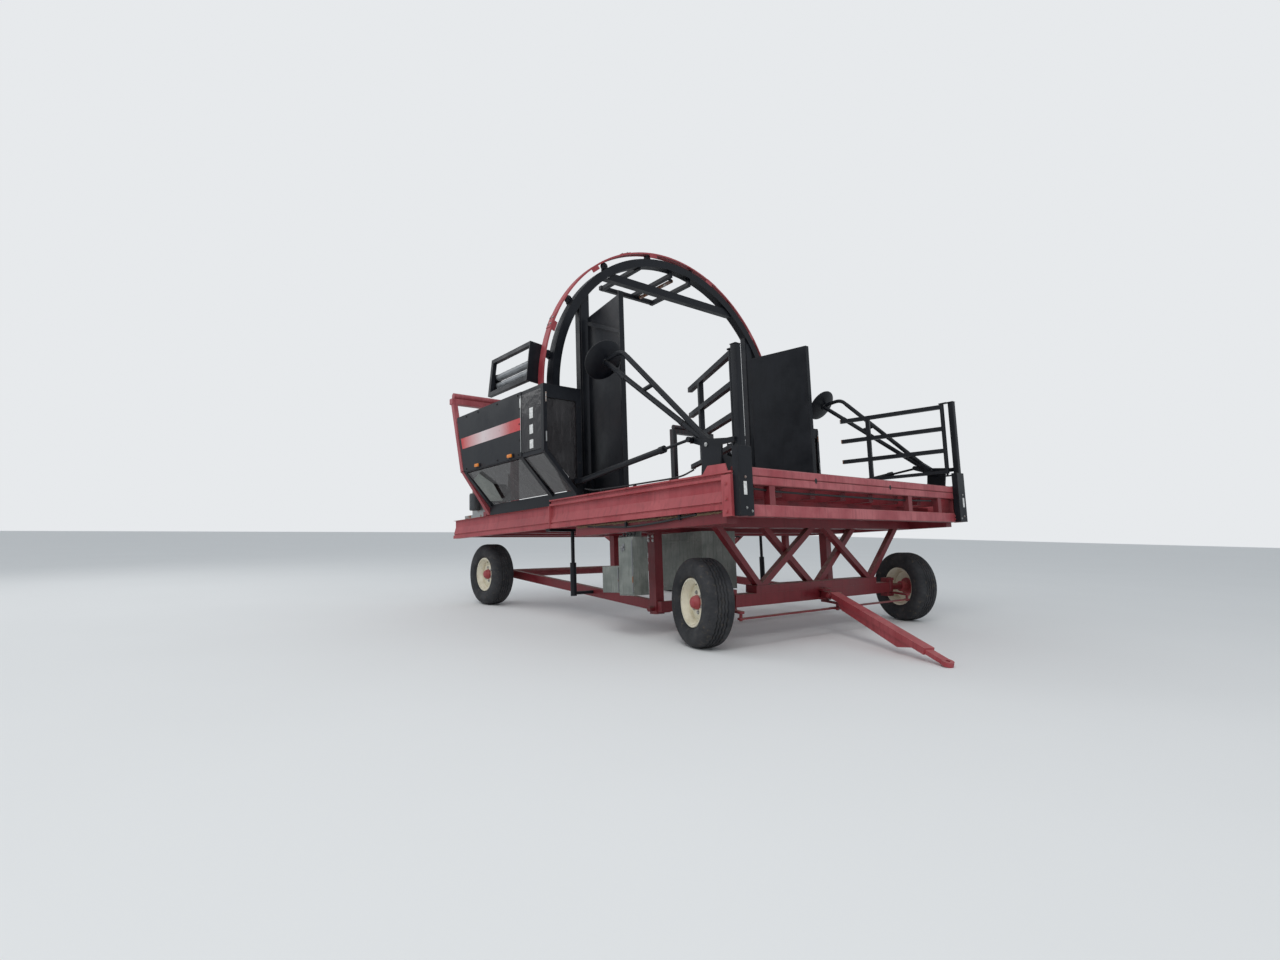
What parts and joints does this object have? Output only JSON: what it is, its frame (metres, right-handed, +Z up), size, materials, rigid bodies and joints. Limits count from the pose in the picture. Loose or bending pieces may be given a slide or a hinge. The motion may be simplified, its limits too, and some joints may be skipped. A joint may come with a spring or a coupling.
{
  "type": "inline bale wrapper",
  "caption": "Towed inline round-bale wrapper: rail deck on steered wheels, upright wrapping ring with film units, guide panels, side guards, gates and disc arms.",
  "frame": {"origin": "middle of the overall length and width, on the ground under the wheels", "axes": "+X forwards towards the tongue, +Y to the machine's left, +Z up"},
  "size_m": [6.0489, 4.62, 4.5345],
  "materials": {
    "faded_red": "faded, chalky gloss",
    "deep_red": "worn gloss",
    "black_paint": "satin",
    "bare_steel": "dull",
    "grey_metal": "weathered matt",
    "tyre_rubber": "matt",
    "cream_paint": "weathered satin",
    "clear_sheet": "smoked, glossy"
  },
  "bodies": {
    "chassis": {"side_beam_right": "faded_red", "side_beam_left": "faded_red", "front_frame": "faded_red", "rear_tower": "faded_red", "front_bed": "deep_red", "rear_bed": "deep_red", "under_frame": "deep_red", "front_axle": "deep_red", "rear_axle": "deep_red", "corner_posts": "black_paint", "portal": "black_paint", "hoop": "black_paint", "guide_panel_right": "black_paint", "guide_panel_left": "black_paint", "guard_right": "black_paint", "guard_left": "black_paint", "lift_cylinders": "bare_steel", "power_unit": "bare_steel", "oil_tank": "grey_metal", "tool_boxes": "grey_metal", "guard_windows": "clear_sheet"},
    "wheel_front_right": {"tyre_front_right": "tyre_rubber", "rim_front_right": "cream_paint", "hub_front_right": "faded_red"},
    "wheel_front_left": {"tyre_front_left": "tyre_rubber", "rim_front_left": "cream_paint", "hub_front_left": "faded_red"},
    "wheel_rear_right": {"tyre_rear_right": "tyre_rubber", "rim_rear_right": "cream_paint", "hub_rear_right": "faded_red"},
    "wheel_rear_left": {"tyre_rear_left": "tyre_rubber", "rim_rear_left": "cream_paint", "hub_rear_left": "faded_red"},
    "knuckle_right": {"knuckle_right": "deep_red"},
    "gate_right": {"gate_right": "black_paint"},
    "disc_arm_right": {"disc_arm_right": "black_paint"},
    "arm_barrel_right": {"arm_barrel_right": "black_paint"},
    "arm_piston_right": {"arm_piston_right": "bare_steel"},
    "knuckle_left": {"knuckle_left": "deep_red"},
    "gate_left": {"gate_left": "black_paint"},
    "disc_arm_left": {"disc_arm_left": "black_paint"},
    "arm_barrel_left": {"arm_barrel_left": "black_paint"},
    "arm_piston_left": {"arm_piston_left": "bare_steel"},
    "tie_rod": {"tie_rod": "deep_red"},
    "drawbar_plate": {"drawbar_plate": "deep_red"},
    "tongue": {"tongue": "faded_red"},
    "wrapping_ring": {"ring": "faded_red", "film_unit_right": "black_paint", "film_unit_left": "black_paint"}
  },
  "joints": [
    {"name": "tongue_yaw", "type": "hinge", "parent": "chassis", "child": "drawbar_plate", "pos_m": [1.43169, 0, 0.385], "axis": [0, 0, 1], "range_deg": [-9, 55]},
    {"name": "steer_right", "type": "hinge", "parent": "chassis", "child": "knuckle_right", "pos_m": [1.34169, -1.37, 0.385], "axis": [0, 0, 1], "range_deg": [-7.06, 43.08]},
    {"name": "steer_left", "type": "hinge", "parent": "chassis", "child": "knuckle_left", "pos_m": [1.34169, 1.37, 0.385], "axis": [0, 0, 1], "range_deg": [-7.06, 43.08]},
    {"name": "tie_rod_turn", "type": "hinge", "parent": "knuckle_right", "child": "tie_rod", "pos_m": [1.60038, -1.45405, 0.267], "axis": [0, 0, 1], "range_deg": [-43.08, 7.06]},
    {"name": "tongue_lift", "type": "hinge", "parent": "drawbar_plate", "child": "tongue", "pos_m": [1.57897, -0.06252, 0.385], "axis": [-0.3907, -0.9205, 0], "range_deg": [0, 30]},
    {"name": "wheel_front_right_spin", "type": "hinge", "parent": "knuckle_right", "child": "wheel_front_right", "pos_m": [1.27063, -1.58874, 0.385], "axis": [0.309, 0.9511, 0], "continuous": true},
    {"name": "wheel_rear_right_spin", "type": "hinge", "parent": "chassis", "child": "wheel_rear_right", "pos_m": [-2.54831, -1.6, 0.385], "axis": [0, 1, 0], "continuous": true},
    {"name": "wheel_front_left_spin", "type": "hinge", "parent": "knuckle_left", "child": "wheel_front_left", "pos_m": [1.41276, 1.58874, 0.385], "axis": [0.309, 0.9511, 0], "continuous": true},
    {"name": "wheel_rear_left_spin", "type": "hinge", "parent": "chassis", "child": "wheel_rear_left", "pos_m": [-2.54831, 1.6, 0.385], "axis": [0, 1, 0], "continuous": true},
    {"name": "ring_turn", "type": "hinge", "parent": "chassis", "child": "wrapping_ring", "pos_m": [-0.813, 0, 2.54146], "axis": [0.9974, 0, 0.0715], "continuous": true},
    {"name": "gate_right_swing", "type": "hinge", "parent": "chassis", "child": "gate_right", "pos_m": [1.80973, -1.79, 2.03769], "axis": [-0.0715, 0, 0.9974], "range_deg": [-22, 23]},
    {"name": "gate_left_swing", "type": "hinge", "parent": "chassis", "child": "gate_left", "pos_m": [1.80973, 1.79, 2.03769], "axis": [-0.0715, 0, 0.9974], "range_deg": [-9, 36]},
    {"name": "disc_arm_right_lift", "type": "hinge", "parent": "chassis", "child": "disc_arm_right", "pos_m": [1.60248, -1.838, 1.71204], "axis": [0, 1, 0], "range_deg": [-15, 40]},
    {"name": "arm_barrel_right_turn", "type": "hinge", "parent": "chassis", "child": "arm_barrel_right", "pos_m": [-0.14586, -1.895, 1.48646], "axis": [0, 1, 0], "range_deg": [-3.63, 1.36]},
    {"name": "arm_piston_right_slide", "type": "slide", "parent": "arm_barrel_right", "child": "arm_piston_right", "axis": [0.984, 0, 0.1779], "range_m": [-0.03425, 0.09132]},
    {"name": "disc_arm_left_lift", "type": "hinge", "parent": "chassis", "child": "disc_arm_left", "pos_m": [1.60248, 1.838, 1.71204], "axis": [0, 1, 0], "range_deg": [-15, 40]},
    {"name": "arm_barrel_left_turn", "type": "hinge", "parent": "chassis", "child": "arm_barrel_left", "pos_m": [-0.14586, 1.895, 1.48646], "axis": [0, 1, 0], "range_deg": [-3.63, 1.36]},
    {"name": "arm_piston_left_slide", "type": "slide", "parent": "arm_barrel_left", "child": "arm_piston_left", "axis": [0.984, 0, 0.1779], "range_m": [-0.03425, 0.09132]}
  ],
  "couplings": [
    {"joint": "steer_right", "follows": "tongue_yaw", "ratio": 0.783},
    {"joint": "steer_left", "follows": "tongue_yaw", "ratio": 0.783},
    {"joint": "tie_rod_turn", "follows": "tongue_yaw", "ratio": -0.783},
    {"joint": "arm_barrel_right_turn", "follows": "disc_arm_right_lift", "ratio": -0.090695},
    {"joint": "arm_piston_right_slide", "follows": "disc_arm_right_lift", "m_per_rad": 0.1308},
    {"joint": "arm_barrel_left_turn", "follows": "disc_arm_left_lift", "ratio": -0.090695},
    {"joint": "arm_piston_left_slide", "follows": "disc_arm_left_lift", "m_per_rad": 0.1308}
  ]
}
